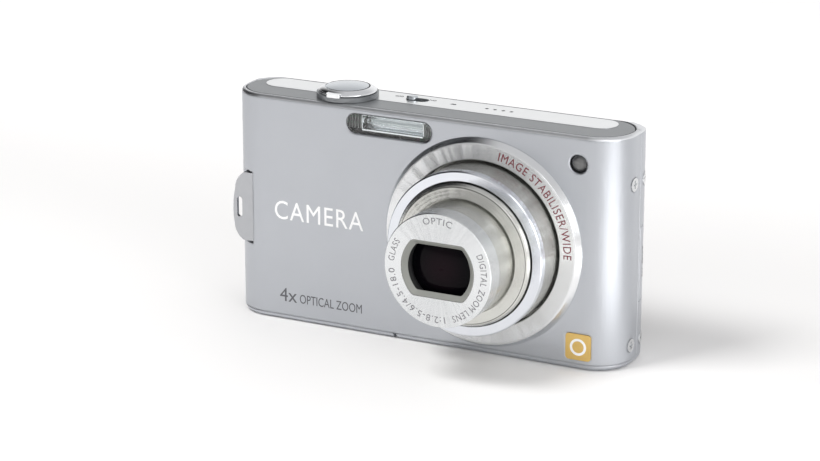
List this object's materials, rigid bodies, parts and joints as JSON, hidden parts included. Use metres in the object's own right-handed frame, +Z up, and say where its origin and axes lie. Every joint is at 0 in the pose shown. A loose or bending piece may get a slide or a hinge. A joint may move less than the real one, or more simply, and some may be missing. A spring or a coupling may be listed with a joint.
{
  "type": "compact digital camera",
  "caption": "Slim metal-cased pocket digital camera on its base, three-stage zoom lens run out, flash, strap lug, top controls, rear screen and keys.",
  "frame": {"origin": "centre of the base, on the surface the camera stands on", "axes": "+X to the right as seen from the front, +Y to the rear (the lens points along -Y), +Z up"},
  "size_m": [0.0954, 0.042, 0.0549],
  "materials": {
    "casing_metal": "brushed",
    "cover_grey": "satin",
    "plate_silver": "satin",
    "bezel_silver": "satin",
    "barrel_metal": "satin",
    "chrome_ring": "polished",
    "trim_grey": "satin",
    "black_plastic": "matte",
    "blade_black": "matte",
    "lens_glass": "coated",
    "window_clear": "clear",
    "screen_black": "glossy",
    "reflector_metal": "polished",
    "steel": "zinc plated",
    "brass": "machined",
    "gold_badge": "satin",
    "board_green": "solder mask",
    "battery_can": "labelled",
    "key_silver": "satin",
    "dial_grey": "satin",
    "card_blue": "matte",
    "moulding_grey": "matte",
    "sensor_glass": "coated"
  },
  "bodies": {
    "camera_body": {"front_casing": "casing_metal", "rear_casing": "casing_metal", "top_cover": "cover_grey", "top_plate": "plate_silver", "base_cover": "casing_metal", "chassis": "moulding_grey", "battery_bay": "black_plastic", "battery": "battery_can", "memory_card": "card_blue", "tripod_socket": "brass", "casing_screws": "steel", "strap_lug": "chrome_ring", "lens_bezel": "bezel_silver", "lens_housing": "black_plastic", "image_sensor": "sensor_glass", "sensor_board": "board_green", "zoom_motor": "steel", "flash_window": "window_clear", "flash_reflector": "reflector_metal", "flash_tube": "window_clear", "flash_capacitor": "battery_can", "af_lamp_lens": "window_clear", "front_badge": "gold_badge", "top_board": "board_green", "speaker": "black_plastic", "screen_window": "screen_black", "screen_panel": "moulding_grey", "main_board": "board_green", "key_board": "board_green", "av_socket": "steel", "door_hinge_pin": "steel"},
    "lens_outer": {"outer_barrel": "barrel_metal", "outer_barrel_ring": "chrome_ring"},
    "lens_middle": {"middle_barrel": "barrel_metal"},
    "lens_inner": {"inner_barrel": "barrel_metal", "name_ring": "bezel_silver", "window_frame": "trim_grey", "front_lens": "lens_glass", "front_lens_holder": "black_plastic", "zoom_lens": "lens_glass"},
    "blade_upper": {"barrier_blade_upper": "blade_black"},
    "blade_lower": {"barrier_blade_lower": "blade_black"},
    "focus_group": {"focus_lens": "lens_glass", "focus_carriage": "black_plastic"},
    "pinion": {"zoom_pinion": "brass"},
    "drive_gear": {"zoom_gear": "moulding_grey"},
    "lever": {"zoom_lever": "chrome_ring"},
    "shutter": {"shutter_button": "key_silver"},
    "power": {"power_switch": "chrome_ring"},
    "dial": {"mode_dial": "dial_grey"},
    "key_up": {"cursor_up": "key_silver"},
    "key_down": {"cursor_down": "key_silver"},
    "key_left": {"cursor_left": "key_silver"},
    "key_right": {"cursor_right": "key_silver"},
    "key_menu": {"menu_button": "key_silver"},
    "key_display": {"display_button": "key_silver"},
    "key_delete": {"delete_button": "key_silver"},
    "door": {"battery_door": "casing_metal"},
    "door_slide": {"battery_door_latch": "moulding_grey"},
    "port_flap": {"port_door": "casing_metal"}
  },
  "joints": [
    {"name": "lens_retract", "type": "slide", "parent": "camera_body", "child": "lens_outer", "axis": [0, 1, 0], "range_m": [0, 0.0083]},
    {"name": "middle_retract", "type": "slide", "parent": "lens_outer", "child": "lens_middle", "axis": [0, 1, 0], "range_m": [0, 0.00131]},
    {"name": "inner_retract", "type": "slide", "parent": "lens_middle", "child": "lens_inner", "axis": [0, 1, 0], "range_m": [0, 0.01081]},
    {"name": "upper_blade_close", "type": "slide", "parent": "lens_inner", "child": "blade_upper", "axis": [0, 0, -1], "range_m": [0, 0.00511]},
    {"name": "lower_blade_close", "type": "slide", "parent": "lens_inner", "child": "blade_lower", "axis": [0, 0, 1], "range_m": [0, 0.00511]},
    {"name": "focus_travel", "type": "slide", "parent": "camera_body", "child": "focus_group", "axis": [0, 1, 0], "range_m": [-0.0009, 0.0003]},
    {"name": "gear_spin", "type": "hinge", "parent": "camera_body", "child": "drive_gear", "pos_m": [0.0377, -0.00665, 0.0119], "axis": [0, 1, 0], "range_deg": [0, 151]},
    {"name": "pinion_spin", "type": "hinge", "parent": "camera_body", "child": "pinion", "pos_m": [0.0334, -0.00665, 0.0076], "axis": [0, 1, 0], "range_deg": [-302, 0]},
    {"name": "zoom_turn", "type": "hinge", "parent": "camera_body", "child": "lever", "pos_m": [-0.0214, -0.00215, 0.0538], "axis": [0, 0, 1], "range_deg": [-20, 20], "stiffness_Nm_per_rad": 0.01},
    {"name": "shutter_press", "type": "slide", "parent": "camera_body", "child": "shutter", "axis": [0, 0, -1], "range_m": [0, 0.0006], "stiffness_N_per_m": 1500},
    {"name": "power_slide", "type": "slide", "parent": "camera_body", "child": "power", "axis": [1, 0, 0], "range_m": [0, 0.0024]},
    {"name": "mode_turn", "type": "hinge", "parent": "camera_body", "child": "dial", "pos_m": [-0.032, 0.0094, 0.0398], "axis": [0, -1, 0], "range_deg": [-120, 120]},
    {"name": "up_press", "type": "slide", "parent": "camera_body", "child": "key_up", "axis": [0, -1, 0], "range_m": [0, 0.00035], "stiffness_N_per_m": 2500},
    {"name": "down_press", "type": "slide", "parent": "camera_body", "child": "key_down", "axis": [0, -1, 0], "range_m": [0, 0.00035], "stiffness_N_per_m": 2500},
    {"name": "left_press", "type": "slide", "parent": "camera_body", "child": "key_left", "axis": [0, -1, 0], "range_m": [0, 0.00035], "stiffness_N_per_m": 2500},
    {"name": "right_press", "type": "slide", "parent": "camera_body", "child": "key_right", "axis": [0, -1, 0], "range_m": [0, 0.00035], "stiffness_N_per_m": 2500},
    {"name": "menu_press", "type": "slide", "parent": "camera_body", "child": "key_menu", "axis": [0, -1, 0], "range_m": [0, 0.00035], "stiffness_N_per_m": 2500},
    {"name": "display_press", "type": "slide", "parent": "camera_body", "child": "key_display", "axis": [0, -1, 0], "range_m": [0, 0.00035], "stiffness_N_per_m": 2500},
    {"name": "delete_press", "type": "slide", "parent": "camera_body", "child": "key_delete", "axis": [0, -1, 0], "range_m": [0, 0.00035], "stiffness_N_per_m": 2500},
    {"name": "battery_door_swing", "type": "hinge", "parent": "camera_body", "child": "door", "pos_m": [-0.00635, 0, 0.00068], "axis": [0, -1, 0], "range_deg": [0, 90]},
    {"name": "door_latch_slide", "type": "slide", "parent": "door", "child": "door_slide", "axis": [1, 0, 0], "range_m": [0, 0.0024]},
    {"name": "port_door_swing", "type": "hinge", "parent": "camera_body", "child": "port_flap", "pos_m": [0.04742, 0.00162, 0.022], "axis": [0, 0, -1], "range_deg": [0, 100]}
  ],
  "couplings": [
    {"joint": "middle_retract", "follows": "lens_retract", "ratio": 0.15663},
    {"joint": "inner_retract", "follows": "lens_retract", "ratio": 1.3012},
    {"joint": "upper_blade_close", "follows": "lens_retract", "ratio": 0.61446},
    {"joint": "lower_blade_close", "follows": "lens_retract", "ratio": 0.61446},
    {"joint": "gear_spin", "follows": "lens_retract", "rad_per_m": 315.42},
    {"joint": "pinion_spin", "follows": "lens_retract", "rad_per_m": -630.84}
  ]
}
